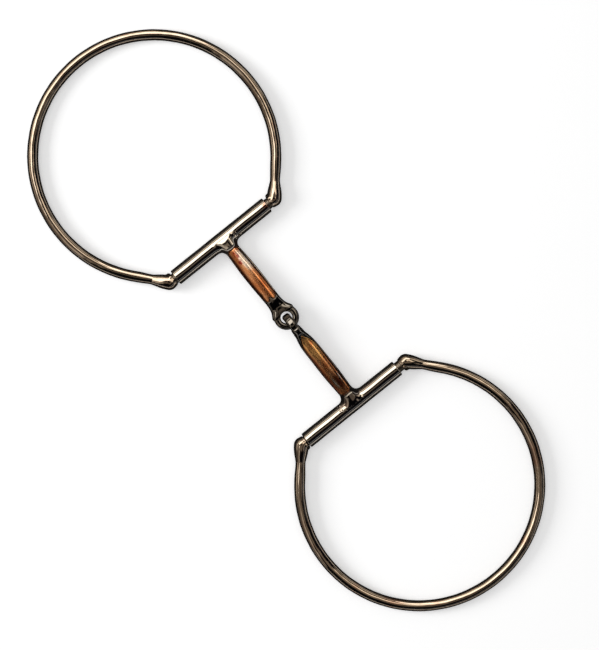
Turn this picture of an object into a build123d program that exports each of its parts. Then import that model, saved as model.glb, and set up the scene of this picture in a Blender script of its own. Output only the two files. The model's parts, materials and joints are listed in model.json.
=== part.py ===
from build123d import *
import math
import os

# Western ring snaffle bit with hinged barrel cheeks and a copper-inlaid, single-jointed mouth.
# Lies flat: +X runs along the mouthpiece, +Y along the barrels, +Z is up, and the origin is on the
# ground in the middle of the bit. Millimetres.

# Rings: round wire, bent into a loop whose two ends run straight to the barrel's axis.
RING_RADIUS = 71.9
WIRE_RADIUS = 3.35
RING_OFFSET = 63.8
KNUCKLE_PLACE = 39.8
KNUCKLE_RADIUS = 4.4
KNUCKLE_LENGTH = 12.0

# Barrels: straight tubes that the rings' hinge rods turn in.
BARREL_RADIUS = 5.0
BARREL_LENGTH = 69.3
BARREL_CHAMFER = 0.6
ROD_RADIUS = 3.35
RUNNING_FIT = 0.1
SHOULDER_GAP = 1.5

# Mouth arms: steel cores that end in a round eye.
ARM_LENGTH = 59.4
NECK_RADIUS = 4.25
ARM_RADIUS = 4.9
EYE_RADIUS = 7.5
EYE_HOLE_RADIUS = 3.5
EYE_HALF_THICKNESS = 2.5
EYE_ROUNDING = 1.5
EYE_NECK_REACH = 4.2
NOT_ROUND = 0.001  # keeps every section an ellipse, so that they join smoothly

# Copper inlay strips let into the top and the underside of both arms.
INLAY_DEPTH = 1.2
INLAY_EDGE_HEIGHT = 1.0
INLAY_HALF_WIDTH = 4.5
INLAY_START = 8.8
FLAT_EYE_INLAY_END = 46.2
EDGE_EYE_INLAY_END = 51.2
INLAY_TAPER = 11.0
INLAY_WAIST = 0.4
INLAY_WAIST_WIDTH = 0.66
INLAY_CORNER = 3.0

# Weld collar that blends each arm into its barrel.
WELD_SPREAD = 9.4
WELD_HEIGHT = 4.7
WELD_END = 9.2

# The arms are welded a little to the rear of the barrels' middles, and each ring lies slid to the
# rear within its end float.
MOUTH_SHIFT = 2.0
LEFT_RING_SLIDE = 0.5
RIGHT_RING_SLIDE = 1.2

# The pieces stand on the ground on the barrels, the upright eye and the far side of each ring.
EYE_MID_RADIUS = (EYE_RADIUS + EYE_HOLE_RADIUS) / 2
EYE_SHIFT = EYE_MID_RADIUS / 2
ARM_SLOPE = math.degrees(math.asin((EYE_RADIUS - BARREL_RADIUS) / ARM_LENGTH))
BARREL_PLACE = ARM_LENGTH * math.cos(math.radians(ARM_SLOPE)) + EYE_SHIFT
RING_DROP = math.degrees(math.asin((BARREL_RADIUS - WIRE_RADIUS) / (RING_OFFSET + RING_RADIUS)))
SHOULDER = BARREL_LENGTH / 2 + SHOULDER_GAP
BARREL_MIDDLE = -(LEFT_RING_SLIDE + RIGHT_RING_SLIDE) / 2


def save(shape, node):
    solids = shape.solids()
    if len(solids) == 1:
        shape = solids[0]
    shape.label = node
    export_step(shape, "parts/" + node + ".step")


def knuckle_run():
    """Where the loop's straight end leaves the arc, and its direction towards the barrel."""
    reach = math.hypot(KNUCKLE_PLACE, RING_OFFSET)
    bend = math.atan2(-RING_OFFSET, KNUCKLE_PLACE)
    leave = bend + math.acos(RING_RADIUS / reach)
    tangent = Vector(RING_OFFSET + RING_RADIUS * math.sin(leave), RING_RADIUS * math.cos(leave), 0)
    corner = Vector(0, KNUCKLE_PLACE, 0)
    return tangent, corner, (corner - tangent).normalized()


def ring_loop():
    """Round wire loop in the XY plane, with the barrel's axis along Y and the ring towards +X."""
    tangent, corner, run = knuckle_run()
    tip = corner - run * KNUCKLE_LENGTH
    far = Vector(RING_OFFSET + RING_RADIUS, 0, 0)
    front_tangent = Vector(tangent.X, -tangent.Y, 0)
    front_tip = Vector(tip.X, -tip.Y, 0)
    path = Wire([
        Edge.make_line(tip, tangent),
        Edge.make_three_point_arc(tangent, far, front_tangent),
        Edge.make_line(front_tangent, front_tip),
    ])
    section = Plane(origin=tip, z_dir=-run) * Circle(WIRE_RADIUS)
    return sweep(section, path)


def knuckle(side):
    """Swollen end of the loop, from the wire down to the flat shoulder beside the barrel."""
    _, corner, run = knuckle_run()
    dome = KNUCKLE_RADIUS * 0.8
    profile = make_face([
        Polyline((KNUCKLE_RADIUS, 0), (WIRE_RADIUS, KNUCKLE_LENGTH), (0, KNUCKLE_LENGTH), (0, -dome)),
        Spline((0, -dome), (KNUCKLE_RADIUS, 0), tangents=((1, 0), (0, 1))),
    ])
    swelling = revolve(Plane.XZ * profile, Axis.Z)
    swelling = Plane(origin=corner, z_dir=-run) * swelling
    neck_length = KNUCKLE_PLACE - SHOULDER
    neck = Pos(0, SHOULDER + neck_length / 2, 0) * (Rot(90, 0, 0) * Cylinder(ROD_RADIUS + 0.4, neck_length))
    beyond = Pos(0, SHOULDER + 50, 0) * Box(100, 100, 100)
    shape = (swelling + neck) & beyond
    if side < 0:
        shape = mirror(shape, about=Plane.XZ)
    return shape


def hinge_rod():
    return Rot(90, 0, 0) * Cylinder(ROD_RADIUS, 2 * SHOULDER)


def barrel():
    tube = Rot(90, 0, 0) * Cylinder(BARREL_RADIUS, BARREL_LENGTH)
    rims = tube.edges().filter_by(GeomType.CIRCLE)
    tube = chamfer(rims, BARREL_CHAMFER)
    bore = Rot(90, 0, 0) * Cylinder(ROD_RADIUS + RUNNING_FIT, BARREL_LENGTH + 2)
    return tube - bore


def across_arm(place):
    """Plane square to the arm, at a place along it."""
    return Plane(origin=(place, 0, 0), x_dir=(0, 1, 0), z_dir=(1, 0, 0))


def arm_loft(inset):
    """Arm with a flat neck, each side set in by the same amount, from the barrel to the eye."""
    wide = [
        (0.0, NECK_RADIUS), (11.0, NECK_RADIUS + 0.1), (22.0, ARM_RADIUS - 0.05), (33.0, ARM_RADIUS),
        (42.0, ARM_RADIUS - 0.1), (46.5, ARM_RADIUS - 0.15), (51.0, ARM_RADIUS + 0.35),
        (ARM_LENGTH - EYE_NECK_REACH, EYE_RADIUS - 1.35),
    ]
    thin = [
        NECK_RADIUS, NECK_RADIUS + 0.1, ARM_RADIUS - 0.05, ARM_RADIUS,
        ARM_RADIUS - 0.1, ARM_RADIUS - 0.45, 3.55, EYE_HALF_THICKNESS,
    ]
    sections = []
    for (place, half_width), half_height in zip(wide, thin):
        sections.append(across_arm(place) * Ellipse(half_width - inset + NOT_ROUND, half_height - inset))
    return loft(sections)


def eye():
    ring = Cylinder(EYE_RADIUS, 2 * EYE_HALF_THICKNESS) - Cylinder(EYE_HOLE_RADIUS, 4 * EYE_HALF_THICKNESS)
    ring = fillet(ring.edges().filter_by(GeomType.CIRCLE), EYE_ROUNDING)
    return Pos(ARM_LENGTH, 0, 0) * ring


def inlay_outline(end, taper):
    """Plan outline of a strip: blunt at the barrel, blunt or drawn to a point at the eye."""
    half = INLAY_HALF_WIDTH
    middle = (INLAY_START + end) / 2
    blunt = Pos(middle, 0) * RectangleRounded(end - INLAY_START, 2 * half, INLAY_CORNER)
    if not taper:
        return blunt
    shoulder = end - INLAY_TAPER
    waist = end - INLAY_TAPER * INLAY_WAIST
    narrow = half * INLAY_WAIST_WIDTH
    side = Spline(
        (shoulder, half), (waist, narrow), (end, 0), (waist, -narrow), (shoulder, -half),
        tangents=((1, -0.1), (-1, -0.1)))
    back = Polyline((shoulder, -half), (0, -half), (0, half), (shoulder, half))
    return blunt & make_face([side, back])


def inlay(core_shape, inner_shape, outline, side):
    """Curved strip let into the core's surface, above or below the arm."""
    strip = extrude(outline, 2 * EYE_RADIUS)
    strip = Pos(0, 0, INLAY_EDGE_HEIGHT) * strip
    if side < 0:
        strip = mirror(strip, about=Plane.XY)
    return (core_shape & strip) - inner_shape


def weld_collar(core_shape):
    """Filleted weld, flared along the barrel, round the root of the arm."""
    flare = [(1.0, 1.0, 1.0), (3.6, 0.93, 0.995), (5.4, 0.735, 0.985), (7.2, 0.56, 0.96)]
    sections = []
    for place, spread, height in flare:
        sections.append(across_arm(place) * Ellipse(WELD_SPREAD * spread, WELD_HEIGHT * height))
    sections.append(across_arm(WELD_END) * Ellipse(NECK_RADIUS + 0.2, NECK_RADIUS + 0.15))
    tube = Rot(90, 0, 0) * Cylinder(BARREL_RADIUS, BARREL_LENGTH)
    return loft(sections) - tube - core_shape


def arm_pieces(eye_is_flat):
    """Steel core, its two copper strips and its weld, along +X from the barrel's axis."""
    solid_arm = arm_loft(0)
    inner = arm_loft(INLAY_DEPTH)
    whole = solid_arm + eye()
    outline = inlay_outline(FLAT_EYE_INLAY_END, False)
    if not eye_is_flat:
        whole = Rot(90, 0, 0) * whole
        solid_arm = Rot(90, 0, 0) * solid_arm
        inner = Rot(90, 0, 0) * inner
        outline = inlay_outline(EDGE_EYE_INLAY_END, True)
    tube = Rot(90, 0, 0) * Cylinder(BARREL_RADIUS, BARREL_LENGTH)
    pieces = {}
    for name, side in (("upper_copper_inlay", 1), ("lower_copper_inlay", -1)):
        pieces[name] = inlay(solid_arm, inner, outline, side)
    core = whole - tube
    pieces["t_weld"] = weld_collar(core)
    for name in ("upper_copper_inlay", "lower_copper_inlay"):
        core = core - pieces[name]
    pieces["mouth_arm"] = core
    return pieces


def ring_pieces(front):
    """Ring, knuckles and hinge rod, with the ring towards +X and the front end on side front of Y."""
    return {
        "ring_loop": ring_loop(),
        "ring_front_knuckle": knuckle(front),
        "ring_rear_knuckle": knuckle(-front),
        "hinge_rod": hinge_rod(),
    }


os.makedirs("parts", exist_ok=True)
for side_name, turn, rearward, slide, eye_is_flat in (
        ("left", 0, 1, LEFT_RING_SLIDE, True), ("right", 180, -1, RIGHT_RING_SLIDE, False)):
    home = Rot(0, 0, turn) * Pos(-BARREL_PLACE, rearward * BARREL_MIDDLE, BARREL_RADIUS)
    arm_place = home * Rot(0, -ARM_SLOPE, 0) * Pos(0, rearward * MOUTH_SHIFT, 0)
    ring_place = home * Pos(0, rearward * slide, 0) * Rot(0, -RING_DROP, 0) * Rot(0, 0, 180)
    for piece, shape in arm_pieces(eye_is_flat).items():
        save(arm_place * shape, side_name + "_" + piece)
    save(home * barrel(), side_name + "_barrel")
    for piece, shape in ring_pieces(rearward).items():
        save(ring_place * shape, side_name + "_" + piece)
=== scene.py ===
import bpy
import json
import math
import numpy as np
from mathutils import Matrix, Vector


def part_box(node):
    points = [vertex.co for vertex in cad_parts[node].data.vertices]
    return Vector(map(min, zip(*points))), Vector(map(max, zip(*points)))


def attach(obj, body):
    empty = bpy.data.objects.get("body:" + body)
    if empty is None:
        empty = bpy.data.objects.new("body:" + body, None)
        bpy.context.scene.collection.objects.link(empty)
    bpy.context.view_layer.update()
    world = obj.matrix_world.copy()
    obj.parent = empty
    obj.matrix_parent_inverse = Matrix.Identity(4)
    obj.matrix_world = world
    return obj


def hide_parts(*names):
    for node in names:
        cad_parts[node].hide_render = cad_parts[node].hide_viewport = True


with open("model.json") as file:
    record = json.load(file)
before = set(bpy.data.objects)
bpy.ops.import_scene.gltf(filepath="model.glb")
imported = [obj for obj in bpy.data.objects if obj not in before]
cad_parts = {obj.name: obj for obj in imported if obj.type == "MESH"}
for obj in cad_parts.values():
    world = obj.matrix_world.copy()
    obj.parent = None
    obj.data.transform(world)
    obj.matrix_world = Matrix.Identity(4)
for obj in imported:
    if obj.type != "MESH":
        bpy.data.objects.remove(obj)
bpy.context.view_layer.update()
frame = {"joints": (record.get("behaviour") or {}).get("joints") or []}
scene = bpy.context.scene
MM = 0.001

# ------------------------------------------------------------------ sizes, read from the frame (mm)


def box_mm(node):
    """Lowest and highest corners of a CAD node, in millimetres."""
    low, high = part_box(node)
    return np.array(low) / MM, np.array(high) / MM


barrel_low, barrel_high = box_mm("right_barrel")
rod_low, rod_high = box_mm("right_hinge_rod")
loop_low, loop_high = box_mm("right_ring_loop")
arm_low, arm_high = box_mm("left_mouth_arm")
joint_at = {j["name"]: np.array(j["pos_m"]) / MM for j in frame["joints"]}

BARREL_PLACE = joint_at["right_ring_swing"][0]
BARREL_RADIUS = (barrel_high[0] - barrel_low[0]) / 2
BARREL_HALF = (barrel_high[1] - barrel_low[1]) / 2
BARREL_MIDDLE = (barrel_high[1] + barrel_low[1]) / 2
ROD_RADIUS = (rod_high[0] - rod_low[0]) / 2
SHOULDER = (rod_high[1] - rod_low[1]) / 2
WIRE_RADIUS = ROD_RADIUS
RING_RADIUS = (loop_high[1] - loop_low[1]) / 2 - WIRE_RADIUS
RING_OFFSET = loop_high[0] - BARREL_PLACE - RING_RADIUS - WIRE_RADIUS
RING_DROP = math.asin((BARREL_RADIUS - WIRE_RADIUS) / (RING_OFFSET + RING_RADIUS))

EYE_RADIUS = (arm_high[1] - arm_low[1]) / 2
EYE_SECTION = 4.2
EYE_HALF_THICKNESS = 2.5
EYE_ROUNDING = 1.7
EYE_HOLE_RADIUS = EYE_RADIUS - EYE_SECTION
JOINT_HEIGHT = joint_at["mouth_fold"][2]
MOUTH_SHIFT = (arm_low[1] + arm_high[1]) / 2 - BARREL_MIDDLE
EYE_PLACE = joint_at["mouth_fold"][0]
ARM_LENGTH = math.hypot(BARREL_PLACE - EYE_PLACE, JOINT_HEIGHT - BARREL_RADIUS)
ARM_SLOPE = math.atan2(JOINT_HEIGHT - BARREL_RADIUS, BARREL_PLACE - EYE_PLACE)
RUNNING_FIT = 0.1
BORE_RADIUS = ROD_RADIUS + RUNNING_FIT

# ------------------------------------------------------------------ distance fields (mm)


def smooth_min(a, b, k):
    """Smaller of a and b, rounded over k where they are close."""
    h = np.clip(0.5 + 0.5 * (b - a) / k, 0, 1)
    return b + (a - b) * h - k * h * (1 - h)


def smooth_max(a, b, k):
    """Larger of a and b, rounded over k where they are close."""
    return -smooth_min(-a, -b, k)


def curve(x, knots):
    """Smooth value at x through (place, value) knots, level beyond both ends."""
    xs, ys = np.array(knots, float).T
    slopes = np.gradient(ys, xs)
    slopes[0] = slopes[-1] = 0
    x = np.clip(x, xs[0], xs[-1])
    i = np.clip(np.searchsorted(xs, x) - 1, 0, len(xs) - 2)
    step = xs[i + 1] - xs[i]
    t = (x - xs[i]) / step
    return (
        ys[i] * (1 + 2 * t) * (1 - t) ** 2
        + slopes[i] * step * t * (1 - t) ** 2
        + ys[i + 1] * t * t * (3 - 2 * t)
        - slopes[i + 1] * step * t * t * (1 - t)
    )


WIDE_SIDE = [(0, 4.3), (7, 4.15), (11, 4.3), (22, 4.85), (33, 4.95), (42, 4.8), (46.5, 4.7),
             (50, 5.0), (53, 5.75), (56.5, 6.9)]
THIN_SIDE = [(0, 4.2), (7, 4.15), (11, 4.3), (22, 4.8), (33, 4.85), (42, 4.8), (46.5, 4.45),
             (50, 3.75), (53, 2.95), (56.5, 2.5)]
SQUARENESS = 2.7
FILED_TWIST = math.radians(20)


def arm_axes(p, shift):
    """Splits points of a half's own frame into along, across and above the sloping arm."""
    c, s = math.cos(ARM_SLOPE), math.sin(ARM_SLOPE)
    return p[..., 0] * c + p[..., 2] * s, p[..., 1] - shift, p[..., 2] * c - p[..., 0] * s


def arm_field(along, broad, narrow):
    """Hand-filed arm: squarish round, twisted a little from the barrel to the eye."""
    twist = curve(along, [(8, FILED_TWIST), (27, FILED_TWIST * 0.6), (46, 0)])
    c, s = np.cos(twist), np.sin(twist)
    broad, narrow = broad * c + narrow * s, narrow * c - broad * s
    a, b = curve(along, WIDE_SIDE), curve(along, THIN_SIDE)
    reach = (np.abs(broad / a) ** SQUARENESS + np.abs(narrow / b) ** SQUARENESS) ** (1 / SQUARENESS)
    body = (reach - 1) * b
    return smooth_max(body, along - (ARM_LENGTH - EYE_HOLE_RADIUS - 0.5), 0.8)


def eye_field(along, broad, narrow):
    """Rounded ring round the eye's hole, and the distance from the hole's middle."""
    from_centre = np.sqrt((along - ARM_LENGTH) ** 2 + broad ** 2)
    q1 = np.abs(from_centre - (EYE_HOLE_RADIUS + EYE_SECTION / 2)) - (EYE_SECTION / 2 - EYE_ROUNDING)
    q2 = np.abs(narrow) - (EYE_HALF_THICKNESS - EYE_ROUNDING)
    outside = np.sqrt(np.maximum(q1, 0) ** 2 + np.maximum(q2, 0) ** 2)
    return outside + np.minimum(np.maximum(q1, q2), 0) - EYE_ROUNDING, from_centre


INLAY_START = 8.2
INLAY_HALF_WIDTH = 4.45
INLAY_DEPTH = 1.2
INLAY_EDGE_HEIGHT = 1.0
INLAY_GROOVE = 0.28
INLAY_CORNER = 3.0
FLAT_EYE_INLAY_END = 46.2
EDGE_EYE_INLAY_END = 51.2
INLAY_POINT = 12.0


def outline_field(along, across, flat_eye):
    """Plan outline of a copper strip, negative inside."""
    end = FLAT_EYE_INLAY_END if flat_eye else EDGE_EYE_INLAY_END
    half = INLAY_HALF_WIDTH
    if flat_eye:
        half = half - 0.5 * np.clip((along - 38) / 8, 0, 1) ** 2
        middle = (INLAY_START + end) / 2
        q1 = np.abs(along - middle) - (end - INLAY_START) / 2 + INLAY_CORNER
        q2 = np.abs(across) - half + INLAY_CORNER
        outside = np.sqrt(np.maximum(q1, 0) ** 2 + np.maximum(q2, 0) ** 2)
        strip = outside + np.minimum(np.maximum(q1, q2), 0) - INLAY_CORNER
        notch = (0.55 * (along - 43.4) - np.abs(across + 0.5)) * 0.85
        return smooth_max(strip, notch, 0.6)
    t = np.clip((along - (end - INLAY_POINT)) / INLAY_POINT, 0, 1)
    half = half * (1 - t ** 2.2)
    q1 = np.maximum(INLAY_START + INLAY_CORNER - along, 0)
    q2 = np.maximum(np.abs(across) - half + INLAY_CORNER, 0)
    blunt = np.sqrt(q1 ** 2 + q2 ** 2) - INLAY_CORNER
    side = (np.abs(across) - half) * 0.9
    return np.where(along < INLAY_START + INLAY_CORNER, blunt, np.maximum(side, along - end))


EYE_BLEND = 2.2
HOLE_ROUNDING = 0.9
WELD_BLEND = 4.6
WELD_RISE = 1.55
WELD_TOP = 1.8
WELD_REACH = 14
WELD_PITS = 7
BARREL_WAVE = 0.07


def steel_field(p, shift, flat_eye):
    """Barrel, weld, arm and eye as one polished steel piece."""
    along, across, above = arm_axes(p, shift)
    broad, narrow = (across, above) if flat_eye else (above, across)
    arm = arm_field(along, broad, narrow)
    eye, from_eye = eye_field(along, broad, narrow)
    arm = smooth_min(arm, eye, EYE_BLEND)
    arm = smooth_max(arm, EYE_HOLE_RADIUS - from_eye, HOLE_ROUNDING)
    level = np.sqrt(p[..., 0] ** 2 + p[..., 2] ** 2)
    turn = np.arctan2(p[..., 2], p[..., 0])
    wave = 0.5 + 0.25 * np.sin(p[..., 1] * 0.37 + 2 * turn) + 0.25 * np.sin(p[..., 1] * 0.23 - 3 * turn + 1)
    tube = smooth_max(level - BARREL_RADIUS + BARREL_WAVE * wave, np.abs(p[..., 1]) - BARREL_HALF, 0.7)
    steel = smooth_min(arm, tube, WELD_BLEND)
    near_barrel = np.clip((WELD_REACH - p[..., 0]) / 4, 0, 1)
    rise = np.clip((p[..., 0] + 0.5) / 6.5, 0, 1) * (1 - np.clip((p[..., 0] - 5.8) / 2.4, 0, 1) ** 2)
    beside = np.clip((6.4 - np.abs(p[..., 1] - shift)) / 4.0, 0, 1)
    beside = beside * beside * (3 - 2 * beside)
    steel = steel - WELD_RISE * rise * beside * np.clip(p[..., 2] / 3, 0, 1)
    for k in range(WELD_PITS):
        a = 2.4 * k + (1 if flat_eye else 0)
        dent = np.array([2.6 + 1.8 * math.sin(1.7 * k), shift + 6.2 + 0.65 * k + 0.6 * math.cos(a),
                         3.6 + 0.8 * math.sin(a)])
        pit = 0.55 + 0.2 * math.sin(3 * a) - np.sqrt(((p - dent) ** 2).sum(-1))
        steel = smooth_max(steel, pit, 0.35)
    flat_top = p[..., 2] - (BARREL_RADIUS + WELD_TOP + 20 * (1 - near_barrel))
    flat_foot = -p[..., 2] - (BARREL_RADIUS - 0.03)
    steel = smooth_max(steel, flat_top, 0.5)
    steel = smooth_max(steel, np.where(p[..., 0] < WELD_REACH, flat_foot, -9), 0.2)
    steel = np.where(p[..., 0] < -0.5, tube, steel)
    steel = smooth_max(steel, BORE_RADIUS - level, 0.3)
    outline = outline_field(along, across, flat_eye) - INLAY_GROOVE
    pocket = np.maximum(np.maximum(outline, -(arm + INLAY_DEPTH)), INLAY_EDGE_HEIGHT - np.abs(above))
    return smooth_max(steel, -pocket, 0.3)


def copper_field(p, shift, flat_eye, side):
    """Copper strip let into the arm's top (side 1) or underside (side -1)."""
    along, across, above = arm_axes(p, shift)
    broad, narrow = (across, above) if flat_eye else (above, across)
    surface = arm_field(along, broad, narrow) + 0.03
    outline = outline_field(along, across, flat_eye)
    strip = smooth_max(surface, outline, 0.55)
    strip = smooth_max(strip, -(surface + INLAY_DEPTH - 0.1), 0.2)
    return smooth_max(strip, INLAY_EDGE_HEIGHT + 0.02 - above * side, 0.3)


# ------------------------------------------------------------------ surface nets


def gradient(field, p, step=0.02):
    """Slope of a field at each point, from its values a step to each side."""
    out = np.empty_like(p)
    for axis in range(3):
        move = np.zeros(3)
        move[axis] = step
        out[:, axis] = (field(p + move) - field(p - move)) / (2 * step)
    return out


def settle(field, p, rounds, most):
    """Moves points onto the field's zero surface."""
    for _ in range(rounds):
        g = gradient(field, p)
        length2 = np.maximum((g ** 2).sum(1), 0.05)
        shift = g * (field(p) / length2)[:, None]
        size = np.linalg.norm(shift, axis=1)
        p = p - shift * np.minimum(1, most / np.maximum(size, 1e-9))[:, None]
    return p


def surface_net(field, xs, ys, zs):
    """Closed quad mesh of field = 0 on a grid with the given lines."""
    grid = np.stack(np.meshgrid(xs, ys, zs, indexing="ij"), -1)
    values = field(grid)
    shape = values.shape
    cells = tuple(n - 1 for n in shape)
    total, count = np.zeros(cells + (3,)), np.zeros(cells)
    quads = []
    number = -np.ones(cells, int)
    crossings = []
    for axis in range(3):
        low = [slice(None)] * 3
        high = [slice(None)] * 3
        low[axis], high[axis] = slice(0, -1), slice(1, None)
        a, b = values[tuple(low)], values[tuple(high)]
        cross = (a < 0) != (b < 0)
        where = np.argwhere(cross)
        va, vb = a[cross], b[cross]
        t = (va / (va - vb))[:, None]
        ends = where.copy()
        ends[:, axis] += 1
        points = grid[tuple(where.T)] * (1 - t) + grid[tuple(ends.T)] * t
        crossings.append((axis, where, va < 0))
        others = [k for k in range(3) if k != axis]
        for i in (-1, 0):
            for j in (-1, 0):
                cell = where.copy()
                cell[:, others[0]] += i
                cell[:, others[1]] += j
                good = np.all((cell >= 0) & (cell < np.array(cells)), axis=1)
                index = tuple(cell[good].T)
                np.add.at(total, index, points[good])
                np.add.at(count, index, 1)
    used = count > 0
    number[used] = np.arange(used.sum())
    vertices = total[used] / count[used][:, None]
    for axis, where, inside_first in crossings:
        u, v = (axis + 1) % 3, (axis + 2) % 3
        ring = []
        for i, j in ((-1, -1), (0, -1), (0, 0), (-1, 0)):
            cell = where.copy()
            cell[:, u] += i
            cell[:, v] += j
            ring.append(number[tuple(cell.T)])
        ring = np.stack(ring, 1)
        ring[~inside_first] = ring[~inside_first][:, ::-1]
        quads.append(ring)
    return vertices, np.concatenate(quads)


def relax(vertices, quads, field, rounds, most):
    """Evens out the net along the surface."""
    pairs = np.concatenate([quads[:, [0, 1]], quads[:, [1, 2]], quads[:, [2, 3]], quads[:, [3, 0]]])
    pairs = np.concatenate([pairs, pairs[:, ::-1]])
    degree = np.bincount(pairs[:, 0], minlength=len(vertices))[:, None]
    for _ in range(rounds):
        mean = np.zeros_like(vertices)
        for axis in range(3):
            mean[:, axis] = np.bincount(pairs[:, 0], vertices[pairs[:, 1], axis], len(vertices))
        vertices = vertices * 0.5 + 0.5 * mean / degree
        vertices = settle(field, vertices, 2, most)
    return vertices


def lines(*stretches):
    """Grid lines from (start, end, spacing) stretches laid end to end."""
    out = []
    for start, end, spacing in stretches:
        n = max(1, round((end - start) / spacing))
        out.append(np.linspace(start, end, n + 1)[:-1])
    return np.concatenate(out + [[stretches[-1][1]]])


def mesh_object(name, vertices, faces, place, material, normals=None):
    """Makes an object from a list of faces and millimetre points in the frame that place gives."""
    turn = np.array(place.to_3x3())
    turned = vertices @ turn.T + np.array(place.translation)
    data = bpy.data.meshes.new(name)
    data.from_pydata((turned * MM).tolist(), [], faces)
    data.polygons.foreach_set("use_smooth", [True] * len(data.polygons))
    data.update()
    if normals is not None:
        lengths = np.maximum(np.linalg.norm(normals, axis=1), 1e-9)[:, None]
        data.normals_split_custom_set_from_vertices((normals / lengths @ turn.T).tolist())
    obj = bpy.data.objects.new(name, data)
    scene.collection.objects.link(obj)
    data.materials.append(material)
    return obj


# ------------------------------------------------------------------ camera
scene.view_settings.view_transform = "Standard"
scene.view_settings.look = "None"

MOUTH_TURN = math.radians(51.3)
FRAME_HEIGHT = 0.388
CAMERA_HEIGHT = 1.15
SENSOR_WIDTH = 36
camera_data = bpy.data.cameras.new("camera")
camera_data.sensor_width = SENSOR_WIDTH
camera_data.lens = SENSOR_WIDTH * CAMERA_HEIGHT / FRAME_HEIGHT
camera_data.clip_start, camera_data.clip_end = 0.01, 60
camera = bpy.data.objects.new("camera", camera_data)
scene.collection.objects.link(camera)
scene.camera = camera
RIGHT = Vector((math.cos(MOUTH_TURN), math.sin(MOUTH_TURN), 0))
UP = Vector((-math.sin(MOUTH_TURN), math.cos(MOUTH_TURN), 0))
LOOK_RIGHT, LOOK_DOWN = 0.0071, 0.0019
look_at = RIGHT * LOOK_RIGHT - UP * LOOK_DOWN
CAMERA_LEAN = math.radians(2.2)
LEAN_BEARING = math.radians(135)
lean_axis = RIGHT * math.sin(LEAN_BEARING) - UP * math.cos(LEAN_BEARING)
stance = Matrix.Rotation(-CAMERA_LEAN, 4, lean_axis)
upright = Matrix((RIGHT, UP, Vector((0, 0, 1)))).transposed().to_4x4()
camera.matrix_world = (Matrix.Translation(look_at) @ stance
                       @ Matrix.Translation((0, 0, CAMERA_HEIGHT)) @ upright)

# ------------------------------------------------------------------ node helpers


def new_material(name):
    m = bpy.data.materials.new(name)
    m.use_nodes = True
    return m, m.node_tree, m.node_tree.nodes["Principled BSDF"]


def add(tree, kind, values=None, **settings):
    node = tree.nodes.new(kind)
    for key, value in settings.items():
        setattr(node, key, value)
    for key, value in (values or {}).items():
        node.inputs[key].default_value = value
    return node


def ramp(tree, fac, stops):
    node = tree.nodes.new("ShaderNodeValToRGB")
    tree.links.new(fac, node.inputs["Fac"])
    elements = node.color_ramp.elements
    while len(elements) > 1:
        elements.remove(elements[-1])
    elements[0].position, elements[0].color = stops[0][0], (*stops[0][1], 1)
    for place, color in stops[1:]:
        elements.new(place).color = (*color, 1)
    return node.outputs["Color"]


def lay_over(tree, under, mask, color):
    """Colour under, covered with another colour where the mask is 1."""
    mix = add(tree, "ShaderNodeMix", data_type="RGBA")
    mix.inputs["B"].default_value = (*color, 1)
    tree.links.new(mask, mix.inputs["Factor"])
    tree.links.new(under, mix.inputs["A"])
    return mix.outputs["Result"]


# ------------------------------------------------------------------ floor and light


FLOOR_SIZE = 24


def make_floor():
    """Plain pale floor that glows a little for the camera and is dark in the metal's reflections."""
    bpy.ops.mesh.primitive_plane_add(size=FLOOR_SIZE, location=(0, 0, 0))
    floor = bpy.context.object
    floor.name = "floor"
    m, tree, shader = new_material("floor")
    shader.inputs["Base Color"].default_value = (0.93, 0.93, 0.93, 1)
    shader.inputs["Roughness"].default_value = 1.0
    shader.inputs["Specular IOR Level"].default_value = 0.0
    shader.inputs["Emission Color"].default_value = (1, 1, 1, 1)
    shader.inputs["Emission Strength"].default_value = 0.40
    dim = add(tree, "ShaderNodeEmission", {"Color": (0.020, 0.019, 0.018, 1), "Strength": 1.0})
    path = add(tree, "ShaderNodeLightPath")
    mix = add(tree, "ShaderNodeMixShader")
    tree.links.new(path.outputs["Is Glossy Ray"], mix.inputs["Fac"])
    tree.links.new(shader.outputs[0], mix.inputs[1])
    tree.links.new(dim.outputs[0], mix.inputs[2])
    tree.links.new(mix.outputs[0], tree.nodes["Material Output"].inputs["Surface"])
    floor.data.materials.append(m)


def area(name, across, upward, height, size, power):
    """Square soft light that the metal's reflections don't show."""
    data = bpy.data.lights.new(name, "AREA")
    data.size = size
    data.energy = power
    obj = bpy.data.objects.new(name, data)
    scene.collection.objects.link(obj)
    place = RIGHT * across + UP * upward + Vector((0, 0, height))
    obj.location = place
    obj.rotation_mode = "QUATERNION"
    obj.rotation_quaternion = (-place).to_track_quat("-Z", "Y")
    obj.visible_glossy = False


def maths(tree, operation, first, second):
    node = add(tree, "ShaderNodeMath", operation=operation)
    for socket, value in zip(node.inputs, (first, second)):
        if isinstance(value, (int, float)):
            socket.default_value = value
        else:
            tree.links.new(value, socket)
    return node.outputs[0]


def between(tree, value, low, high, soft):
    """1 while value lies from low to high, fading over soft at each end."""
    ends = []
    for start, stop in ((low - soft, low + soft), (high + soft, high - soft)):
        node = add(tree, "ShaderNodeMapRange", interpolation_type="SMOOTHSTEP")
        node.inputs["From Min"].default_value = start
        node.inputs["From Max"].default_value = stop
        tree.links.new(value, node.inputs["Value"])
        ends.append(node.outputs["Result"])
    return maths(tree, "MULTIPLY", *ends)


def along_direction(tree, direction, bearing):
    """Part of a direction along a bearing on the floor (0 to the camera's right, 90 to its top)."""
    b = math.radians(bearing)
    dot = add(tree, "ShaderNodeVectorMath", operation="DOT_PRODUCT")
    tree.links.new(direction, dot.inputs[0])
    dot.inputs[1].default_value = RIGHT * math.cos(b) + UP * math.sin(b)
    return dot.outputs["Value"]


WALL_LIGHT = 141  # bearing of the bright side of the ceiling


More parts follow.
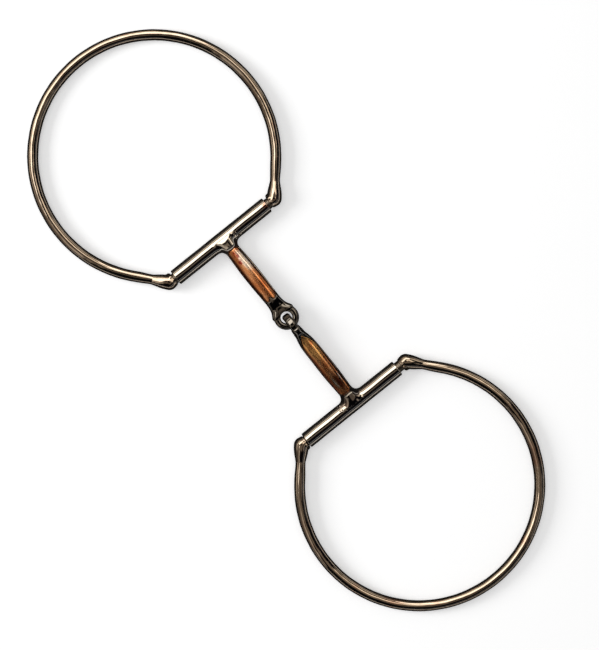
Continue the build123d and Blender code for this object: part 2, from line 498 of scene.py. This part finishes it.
def make_world():
    """White for the camera, soft for the floor, and a banded studio ceiling for the metal."""
    world = bpy.data.worlds.new("studio")
    scene.world = world
    world.use_nodes = True
    tree = world.node_tree
    back = tree.nodes["Background"]
    back.inputs["Color"].default_value = (0.25, 0.25, 0.25, 1)
    direction = add(tree, "ShaderNodeTexCoord").outputs["Generated"]
    split = add(tree, "ShaderNodeSeparateXYZ")
    tree.links.new(direction, split.inputs[0])
    height = split.outputs["Z"]
    safe = maths(tree, "MAXIMUM", height, 0.03)
    towards = along_direction(tree, direction, WALL_LIGHT)
    sideways = along_direction(tree, direction, WALL_LIGHT - 90)
    across = maths(tree, "DIVIDE", towards, safe)
    aside = maths(tree, "DIVIDE", sideways, safe)
    total = ramp(tree, height, [
        (0.0, (0.003, 0.003, 0.003)), (0.16, (0.006, 0.005, 0.005)), (0.40, (0.16, 0.132, 0.105)),
        (0.70, (0.27, 0.222, 0.176)), (1.0, (0.25, 0.205, 0.16))])
    strips = [
        # (across the ceiling, aside on the ceiling, soft, colour)
        ((-0.70, 0.03), (-3.4, -0.24), 0.05, (0.004, 0.004, 0.004)),
        ((-3.4, -0.26), (-5, 5), 0.05, (0.003, 0.003, 0.004)),
        ((-0.92, -0.50), (0.10, 0.36), 0.04, (0.36, 0.315, 0.27)),
        ((-1.75, -1.36), (-2.4, 3), 0.05, (0.27, 0.28, 0.30)),
        ((0.15, 0.28), (-2.0, 2.0), 0.02, (0.006, 0.005, 0.005)),
        ((0.29, 1.12), (-0.45, 1.5), 0.04, (2.9, 2.7, 2.4)),
        ((1.12, 1.50), (-2.6, 2.4), 0.04, (0.006, 0.005, 0.005)),
        ((1.50, 2.6), (-2.4, 2.4), 0.08, (1.20, 1.06, 0.88)),
        ((2.6, 6.0), (-8, 8), 0.2, (0.006, 0.005, 0.005)),
        ((-0.20, 0.24), (0.27, 0.62), 0.05, (1.7, 1.5, 1.24)),
        ((0.04, 0.30), (-1.5, -0.42), 0.05, (0.60, 0.53, 0.45)),
        ((-0.3, 0.3), (0.63, 1.15), 0.04, (0.004, 0.004, 0.004)),
        ((-0.4, 0.4), (1.15, 2.2), 0.08, (0.80, 0.70, 0.57)),
        ((-0.10, 0.16), (-0.10, 0.10), 0.04, (0.004, 0.004, 0.005)),
    ]
    for over, beside, soft, color in strips:
        lengthwise = between(tree, across, *over, soft)
        widthwise = between(tree, aside, *beside, soft)
        total = lay_over(tree, total, maths(tree, "MULTIPLY", lengthwise, widthwise), color)
    rim = between(tree, height, 0.04, 0.19, 0.02)
    far_side = maths(tree, "MULTIPLY", rim, between(tree, towards, -2, 0.1, 0.25))
    for mask, color in ((rim, (0.20, 0.18, 0.155)), (far_side, (0.85, 0.83, 0.80))):
        total = lay_over(tree, total, mask, color)
    glossy = add(tree, "ShaderNodeBackground", {"Strength": 1.0})
    tree.links.new(total, glossy.inputs["Color"])
    path = add(tree, "ShaderNodeLightPath")
    choose = add(tree, "ShaderNodeMixShader")
    tree.links.new(path.outputs["Is Glossy Ray"], choose.inputs["Fac"])
    tree.links.new(back.outputs[0], choose.inputs[1])
    tree.links.new(glossy.outputs[0], choose.inputs[2])
    tree.links.new(choose.outputs[0], tree.nodes["World Output"].inputs["Surface"])


make_floor()
area("low_key", across=-1.85, upward=0.25, height=1.0, size=0.95, power=28)
area("overhead", across=-0.2, upward=0.2, height=1.6, size=1.5, power=5.5)
make_world()

# ------------------------------------------------------------------ metals


def near(tree, coord, centre, inner, outer, long=1.0):
    """1 within inner millimetres of a place, 0 beyond outer, drawn out along X by a factor."""
    away = add(tree, "ShaderNodeVectorMath", operation="SUBTRACT")
    tree.links.new(coord, away.inputs[0])
    away.inputs[1].default_value = Vector(centre) * MM
    squeeze = add(tree, "ShaderNodeVectorMath", operation="MULTIPLY")
    tree.links.new(away.outputs["Vector"], squeeze.inputs[0])
    squeeze.inputs[1].default_value = (1 / long, 1, 1)
    apart = add(tree, "ShaderNodeVectorMath", operation="LENGTH")
    tree.links.new(squeeze.outputs["Vector"], apart.inputs[0])
    fade = add(tree, "ShaderNodeMapRange", interpolation_type="SMOOTHSTEP")
    fade.inputs["From Min"].default_value = outer * MM
    fade.inputs["From Max"].default_value = inner * MM
    tree.links.new(apart.outputs["Value"], fade.inputs["Value"])
    return fade.outputs["Result"]


def iron_material(name, color, dark, roughness, spread, bump, tint, rust_and_painted_shade=()):
    """Browned iron: cloudy colour, fine draw marks and a satin that varies."""
    m, tree, shader = new_material(name)
    coord = add(tree, "ShaderNodeTexCoord").outputs["Object"]
    cloud = add(tree, "ShaderNodeTexNoise", {"Scale": 130.0, "Detail": 5.0, "Roughness": 0.6})
    fine = add(tree, "ShaderNodeTexNoise", {"Scale": 1400.0, "Detail": 4.0, "Roughness": 0.65})
    spots = add(tree, "ShaderNodeTexNoise", {"Scale": 55.0, "Detail": 3.0, "Roughness": 0.5})
    for node in (cloud, fine, spots):
        tree.links.new(coord, node.inputs["Vector"])
    base = ramp(tree, cloud.outputs["Fac"], [(0.32, dark), (0.62, color)])
    red = ramp(tree, spots.outputs["Fac"], [(0.60, (0, 0, 0)), (0.72, (tint,) * 3)])
    total = lay_over(tree, base, red, RED_RUST)
    # Lays listed spots over the colour: rust, and painted shade where the list says so.
    for centre, inner, outer, patch_color, noisy in rust_and_painted_shade:
        mask = near(tree, coord, centre, inner, outer)
        if noisy:
            mask = maths(tree, "MULTIPLY", mask, between(tree, cloud.outputs["Fac"], 0.47, 0.60, 0.03))
        total = lay_over(tree, total, mask, patch_color)
    tree.links.new(total, shader.inputs["Base Color"])
    rough = add(tree, "ShaderNodeMapRange")
    rough.inputs["To Min"].default_value = roughness - spread
    rough.inputs["To Max"].default_value = roughness + spread
    tree.links.new(cloud.outputs["Fac"], rough.inputs["Value"])
    tree.links.new(rough.outputs["Result"], shader.inputs["Roughness"])
    relief = add(tree, "ShaderNodeBump", {"Strength": bump, "Distance": 0.0002})
    tree.links.new(fine.outputs["Fac"], relief.inputs["Height"])
    tree.links.new(relief.outputs["Normal"], shader.inputs["Normal"])
    shader.inputs["Metallic"].default_value = 1.0
    return m


LEFT_ARM, RIGHT_ARM = -1, 1
ARM_ACROSS = BARREL_MIDDLE + MOUTH_SHIFT
RED_RUST = (0.36, 0.12, 0.06)
BROWN_TARNISH = (0.30, 0.11, 0.05)
DARK_EDGE = (0.24, 0.06, 0.03)
# Apart from the two dark red spots on the left arm, which are stains, the marks in this table are painted
# reflections, pale and dark.
COPPER_STAINS_AND_PAINTED_REFLECTIONS = [
    # (arm, mm from the barrel, mm aside, height, inner, outer, times as long, colour, least cloud)
    (LEFT_ARM, 16.6, 1.8, 10.3, 1.6, 3.2, 3.0, (1.0, 0.84, 0.72), 0.40),
    (LEFT_ARM, 12.1, -0.8, 10.0, 1.2, 2.4, 1.5, (0.34, 0.03, 0.02), 0.49),
    (LEFT_ARM, 16.6, -1.0, 10.2, 0.6, 1.9, 1.5, (0.40, 0.05, 0.03), 0.51),
    (LEFT_ARM, 35.1, -0.6, 10.8, 0.1, 0.9, 9.0, (0.26, 0.07, 0.035), 0.30),
    (LEFT_ARM, 40.1, -3.2, 9.5, 1.0, 2.2, 1.2, (0.05, 0.03, 0.02), 0.0),
    (RIGHT_ARM, 42.1, 0.3, 11.0, 2.0, 4.5, 3.0, (1.0, 0.58, 0.22), 0.42),
    (RIGHT_ARM, 17.1, 0.7, 9.9, 0.6, 2.0, 6.0, (0.16, 0.035, 0.02), 0.32),
    (RIGHT_ARM, 19.1, 2.5, 9.8, 0.2, 0.9, 5.5, (1.0, 0.90, 0.82), 0.32),
    (RIGHT_ARM, 16.6, -1.6, 9.8, 0.3, 1.1, 6.0, (1.0, 0.88, 0.80), 0.32),
]


def copper_material():
    """Inlaid copper: cloudy colour, brown tarnish, dark edges, dark red stains, and pale and dark painted
    reflections.
    """
    m, tree, shader = new_material("copper")
    coord = add(tree, "ShaderNodeTexCoord").outputs["Object"]
    stretch = add(tree, "ShaderNodeMapping")
    stretch.inputs["Scale"].default_value = (0.35, 1.0, 1.0)
    tree.links.new(coord, stretch.inputs["Vector"])
    cloud = add(tree, "ShaderNodeTexNoise", {"Scale": 260.0, "Detail": 6.0, "Roughness": 0.62})
    fine = add(tree, "ShaderNodeTexNoise", {"Scale": 1500.0, "Detail": 4.0, "Roughness": 0.7})
    tarnish = add(tree, "ShaderNodeTexNoise", {"Scale": 95.0, "Detail": 4.0, "Roughness": 0.6})
    for node in (cloud, fine, tarnish):
        tree.links.new(stretch.outputs["Vector"], node.inputs["Vector"])
    base = ramp(tree, cloud.outputs["Fac"], [
        (0.30, (0.55, 0.17, 0.06)), (0.48, (0.84, 0.32, 0.12)), (0.66, (0.97, 0.52, 0.27))])
    stain = ramp(tree, tarnish.outputs["Fac"], [(0.56, (0, 0, 0)), (0.70, (0.75,) * 3)])
    total = lay_over(tree, base, stain, BROWN_TARNISH)
    split = add(tree, "ShaderNodeSeparateXYZ")
    tree.links.new(coord, split.inputs[0])
    off_middle = maths(tree, "ABSOLUTE", maths(tree, "SUBTRACT", split.outputs["Y"], ARM_ACROSS * MM), 0)
    ragged = maths(tree, "MULTIPLY", cloud.outputs["Fac"], 0.0022)
    edge = between(tree, maths(tree, "ADD", off_middle, ragged), 0.0044, 1, 0.0006)
    total = lay_over(tree, total, edge, DARK_EDGE)
    # Lays the painted reflections and the stains over the copper's colour.
    for side, from_barrel, aside, height, inner, outer, long, color, least in COPPER_STAINS_AND_PAINTED_REFLECTIONS:
        centre = (side * (BARREL_PLACE - from_barrel), ARM_ACROSS + aside, height)
        mask = near(tree, coord, centre, inner, outer, long)
        mask = maths(tree, "MULTIPLY", mask, between(tree, cloud.outputs["Fac"], least, 2, 0.05))
        total = lay_over(tree, total, mask, color)
    tree.links.new(total, shader.inputs["Base Color"])
    rough = add(tree, "ShaderNodeMapRange")
    rough.inputs["To Min"].default_value = 0.14
    rough.inputs["To Max"].default_value = 0.32
    tree.links.new(cloud.outputs["Fac"], rough.inputs["Value"])
    tree.links.new(rough.outputs["Result"], shader.inputs["Roughness"])
    relief = add(tree, "ShaderNodeBump", {"Strength": 0.032, "Distance": 0.0002})
    tree.links.new(fine.outputs["Fac"], relief.inputs["Height"])
    tree.links.new(relief.outputs["Normal"], shader.inputs["Normal"])
    shader.inputs["Metallic"].default_value = 1.0
    return m


RING_IRON = iron_material("ring_iron", color=(0.56, 0.47, 0.385), dark=(0.42, 0.345, 0.275),
                          roughness=0.10, spread=0.045, bump=0.06, tint=0.45)
JOINT = (0, ARM_ACROSS, JOINT_HEIGHT)
ROOT = BARREL_PLACE - 7
# The grey darkening round the joint and near one arm's root is painted shade; the two reddish spots are
# rust.
STEEL_RUST_AND_PAINTED_SHADE = [
    # (centre, inner, outer, colour, only where the iron is cloudy)
    (JOINT, 15, 27, (0.24, 0.225, 0.205), False),
    ((-ROOT, ARM_ACROSS + 3.5, 9.0), 1, 3.5, (0.42, 0.12, 0.08), True),
    ((ROOT, ARM_ACROSS, 9.5), 3, 9, (0.26, 0.235, 0.21), False),
    ((-BARREL_PLACE, BARREL_MIDDLE + BARREL_HALF - 1, 10), 1, 3, (0.46, 0.20, 0.13), True),
]
BARREL_IRON = iron_material("barrel_iron", color=(0.60, 0.55, 0.49), dark=(0.50, 0.455, 0.40),
                            roughness=0.06, spread=0.03, bump=0.035, tint=0.35, rust_and_painted_shade=STEEL_RUST_AND_PAINTED_SHADE)
ROD_STEEL = iron_material("rod_steel", color=(0.20, 0.17, 0.14), dark=(0.10, 0.085, 0.07),
                          roughness=0.34, spread=0.08, bump=0.3, tint=0.1)
COPPER = copper_material()

# ------------------------------------------------------------------ mouth halves

STEEL_STEP = 0.28
COPPER_STEP = 0.22
KNUCKLE_STEP = 0.26
END_STEP = 0.16
TUBE_STEP = 0.9
MARGIN = 0.7
FINE_REACH = 14
END_REACH = 1.3
NORMAL_STEP = 0.06


def half_place(side):
    """Frame of one half: barrel's axis at its origin, its mouth arm towards +X."""
    turn = Matrix.Rotation(math.pi, 4, "Z") if side == "right" else Matrix.Identity(4)
    middle = BARREL_MIDDLE if side == "left" else -BARREL_MIDDLE
    return turn @ Matrix.Translation((-BARREL_PLACE, middle, BARREL_RADIUS))


def mouth_half(side):
    """One barrel with its weld, arm and eye, and the arm's two copper strips."""
    flat_eye = side == "left"
    shift = MOUTH_SHIFT if side == "left" else -MOUTH_SHIFT
    place = half_place(side)
    depth = (BARREL_RADIUS if flat_eye else EYE_RADIUS - 2.4) + MARGIN
    top = EYE_RADIUS + 2.6 + (0 if flat_eye else EYE_RADIUS - 2.2)
    xs = lines((-BARREL_RADIUS - MARGIN, ARM_LENGTH + EYE_RADIUS + MARGIN, STEEL_STEP))
    end = BARREL_HALF
    ys = lines((-end - MARGIN, -end + END_REACH, END_STEP), (-end + END_REACH, -FINE_REACH, TUBE_STEP),
               (-FINE_REACH, FINE_REACH, STEEL_STEP), (FINE_REACH, end - END_REACH, TUBE_STEP),
               (end - END_REACH, end + MARGIN, END_STEP))
    zs = lines((-depth, top, STEEL_STEP))

    def field(p):
        return steel_field(p, shift, flat_eye)

    vertices, faces = surface_net(field, xs, ys, zs)
    vertices = settle(field, vertices, 3, 0.3)
    vertices = relax(vertices, faces, field, 3, 0.15)
    steel = mesh_object(side + "_barrel_and_arm", vertices, faces.tolist(), place, BARREL_IRON,
                        gradient(field, vertices, NORMAL_STEP))
    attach(steel, side + "_mouth")
    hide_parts(side + "_barrel", side + "_t_weld", side + "_mouth_arm")
    for name, way in (("upper", 1), ("lower", -1)):
        def strip(p):
            return copper_field(p, shift, flat_eye, way)

        along = lines((INLAY_START - 1, EDGE_EYE_INLAY_END + 1.3, COPPER_STEP))
        across = lines((shift - 5.4, shift + 5.4, COPPER_STEP))
        level = lines((0.2, 9.5, COPPER_STEP) if way > 0 else (-7.5, 2.2, COPPER_STEP))
        points, quads = surface_net(strip, along, across, level)
        points = settle(strip, points, 3, 0.25)
        points = relax(points, quads, strip, 2, 0.12)
        inlay = mesh_object(side + "_" + name + "_copper_strip", points, quads.tolist(), place, COPPER,
                            gradient(strip, points, NORMAL_STEP))
        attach(inlay, side + "_mouth")
        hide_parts(side + "_" + name + "_copper_inlay")


# ------------------------------------------------------------------ rings

KNUCKLE_PLACE = 39.8
KNUCKLE_RADIUS = 4.4
KNUCKLE_LENGTH = 12.0
WIRE_WAVE = 0.10
WIRE_WAIST = 0.30
WELD_BEADS = 6


def loop_run():
    """Where the loop's straight end leaves its arc, and the angle it leaves at."""
    reach = math.hypot(KNUCKLE_PLACE, RING_OFFSET)
    leave = math.atan2(-RING_OFFSET, KNUCKLE_PLACE) + math.acos(RING_RADIUS / reach)
    tangent = np.array([RING_OFFSET + RING_RADIUS * math.sin(leave), RING_RADIUS * math.cos(leave), 0])
    corner = np.array([0, KNUCKLE_PLACE, 0])
    run = (corner - tangent) / np.linalg.norm(corner - tangent)
    return tangent, corner, run, leave


def loop_bar():
    """Round wire bent into the loop, as a closed tube with flat ends inside the knuckles."""
    tangent, corner, run, leave = loop_run()
    tip = corner - run * KNUCKLE_LENGTH * 0.45
    straight = [tip + (tangent - tip) * t for t in np.linspace(0, 1, 9)[:-1]]
    arc_count = 420
    arc = [np.array([RING_OFFSET + RING_RADIUS * math.sin(a), RING_RADIUS * math.cos(a), 0])
           for a in np.linspace(leave, math.pi - leave, arc_count)]
    path = straight + arc + [p * np.array([1, -1, 1]) for p in straight[::-1]]
    path = np.array(path)
    along = np.gradient(path, axis=0)
    along /= np.linalg.norm(along, axis=1)[:, None]
    side = np.stack([along[:, 1], -along[:, 0], along[:, 2] * 0], 1)
    around = 56
    angles = np.linspace(0, 2 * math.pi, around, endpoint=False)
    length = np.concatenate([[0], np.cumsum(np.linalg.norm(np.diff(path, axis=0), axis=1))])[:, None]
    wave = (0.5 + 0.2 * np.sin(length * 0.41 + 2 * angles) + 0.17 * np.sin(length * 0.27 - 3 * angles + 2)
            + 0.13 * np.sin(length * 0.83 + angles))
    from_tip = np.minimum(length, length[-1] - length)
    waist = WIRE_WAIST * np.exp(-(((from_tip - 6.0) / 5.0) ** 2))
    rows = (path[:, None] + (WIRE_RADIUS - WIRE_WAVE * wave - waist)[:, :, None] * (
        side[:, None] * np.cos(angles)[None, :, None]
        + np.array([0, 0, 1.0]) * np.sin(angles)[None, :, None]))
    vertices = rows.reshape(-1, 3)
    n = len(path)
    faces = []
    for i in range(n - 1):
        for j in range(around):
            k = (j + 1) % around
            faces.append((i * around + j, i * around + k, (i + 1) * around + k, (i + 1) * around + j))
    caps = [tuple(range(around))[::-1], tuple((n - 1) * around + j for j in range(around))]
    return vertices, faces + caps


def knuckle_field(p):
    """Swollen loop end running into the straight stub beside the barrel, with a lumpy weld."""
    _, corner, run, _ = loop_run()
    q = p - corner
    along = q @ -run
    t = np.clip(along / KNUCKLE_LENGTH, 0, 1)
    off = np.sqrt(np.maximum((q ** 2).sum(-1) - along ** 2, 0))
    radius = curve(t, [(0, KNUCKLE_RADIUS), (0.2, KNUCKLE_RADIUS - 0.02), (0.45, 4.0), (0.72, 3.35),
                       (1, 2.85)])
    shank = smooth_max(off - radius, along - KNUCKLE_LENGTH, 0.2)
    dome = np.sqrt((q ** 2).sum(-1)) - KNUCKLE_RADIUS
    shank = np.where(along < 0, dome, shank)
    level = np.sqrt(p[..., 0] ** 2 + p[..., 2] ** 2)
    stub = smooth_max(level - (ROD_RADIUS + 0.4), p[..., 1] - KNUCKLE_PLACE, 0.3)
    solid = smooth_min(shank, stub, 1.3)
    for k in range(WELD_BEADS):
        a = k * 1.047 + 0.35 * math.sin(3.1 * k)
        bead_radius = 1.15 + 0.25 * math.sin(5.3 * k + 1)
        beside = SHOULDER + 1.5 + 0.35 * math.sin(4.1 * k)
        centre = np.array([3.3 * math.cos(a) + 0.35, beside, 3.3 * math.sin(a)])
        bead = np.sqrt(((p - centre) ** 2).sum(-1)) - bead_radius
        solid = smooth_min(solid, bead, 0.7)
    solid = smooth_max(solid, np.abs(p[..., 2]) - (KNUCKLE_RADIUS + 0.05), 0.3)
    return smooth_max(solid, SHOULDER + 0.02 - p[..., 1], 0.35)


def lathe(profile, around):
    """Closed turned solid about Y from (radius, place) points, ends on the axis left flat."""
    angles = np.linspace(0, 2 * math.pi, around, endpoint=False)
    vertices = [(r * math.cos(a), y, r * math.sin(a)) for r, y in profile for a in angles]
    faces = []
    for i in range(len(profile) - 1):
        for j in range(around):
            k = (j + 1) % around
            faces.append((i * around + j, (i + 1) * around + j, (i + 1) * around + k, i * around + k))
    last = (len(profile) - 1) * around
    caps = [tuple(range(around)), tuple(last + j for j in range(around))[::-1]]
    return np.array(vertices), faces + caps


def ring(side):
    """One wire ring with its two knuckles and its hinge rod."""
    low, high = box_mm(side + "_ring_loop")
    rearward = 1 if side == "left" else -1
    slide = rearward * ((low[1] + high[1]) / 2 - BARREL_MIDDLE)
    place = (half_place(side) @ Matrix.Translation((0, slide, 0))
             @ Matrix.Rotation(-RING_DROP, 4, "Y") @ Matrix.Rotation(math.pi, 4, "Z"))
    vertices, faces = loop_bar()
    loop = mesh_object(side + "_ring_bar", vertices, faces, place, RING_IRON)
    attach(loop, side + "_ring")
    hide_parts(side + "_ring_loop")
    _, corner, run, _ = loop_run()
    far = corner - run * (KNUCKLE_LENGTH + WIRE_RADIUS)
    xs = lines((-KNUCKLE_RADIUS - 1, far[0] + 2, KNUCKLE_STEP))
    ys = lines((SHOULDER - 0.6, far[1] + 2, KNUCKLE_STEP))
    zs = lines((-KNUCKLE_RADIUS - 0.8, KNUCKLE_RADIUS + 0.8, KNUCKLE_STEP))
    points, quads = surface_net(knuckle_field, xs, ys, zs)
    points = settle(knuckle_field, points, 3, 0.25)
    points = relax(points, quads, knuckle_field, 2, 0.12)
    for name, way in (("front", rearward), ("rear", -rearward)):
        turned = points * np.array([1, way, 1])
        slopes = gradient(knuckle_field, points, NORMAL_STEP) * np.array([1, way, 1])
        order = quads if way > 0 else quads[:, ::-1]
        lug = mesh_object(side + "_" + name + "_knuckle_weld", turned, order.tolist(), place, RING_IRON,
                          slopes)
        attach(lug, side + "_ring")
        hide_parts(side + "_ring_" + name + "_knuckle")
    profile = [(ROD_RADIUS - 0.25, -SHOULDER - 0.3), (ROD_RADIUS, -SHOULDER + 0.1)]
    profile += [(ROD_RADIUS, y) for y in np.linspace(-SHOULDER + 1, SHOULDER - 1, 24)]
    profile += [(ROD_RADIUS, SHOULDER - 0.1), (ROD_RADIUS - 0.25, SHOULDER + 0.3)]
    vertices, faces = lathe(profile, 48)
    rod = mesh_object(side + "_turned_rod", vertices, faces, place, ROD_STEEL)
    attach(rod, side + "_ring")
    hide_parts(side + "_hinge_rod")


for side in ("left", "right"):
    mouth_half(side)
    ring(side)
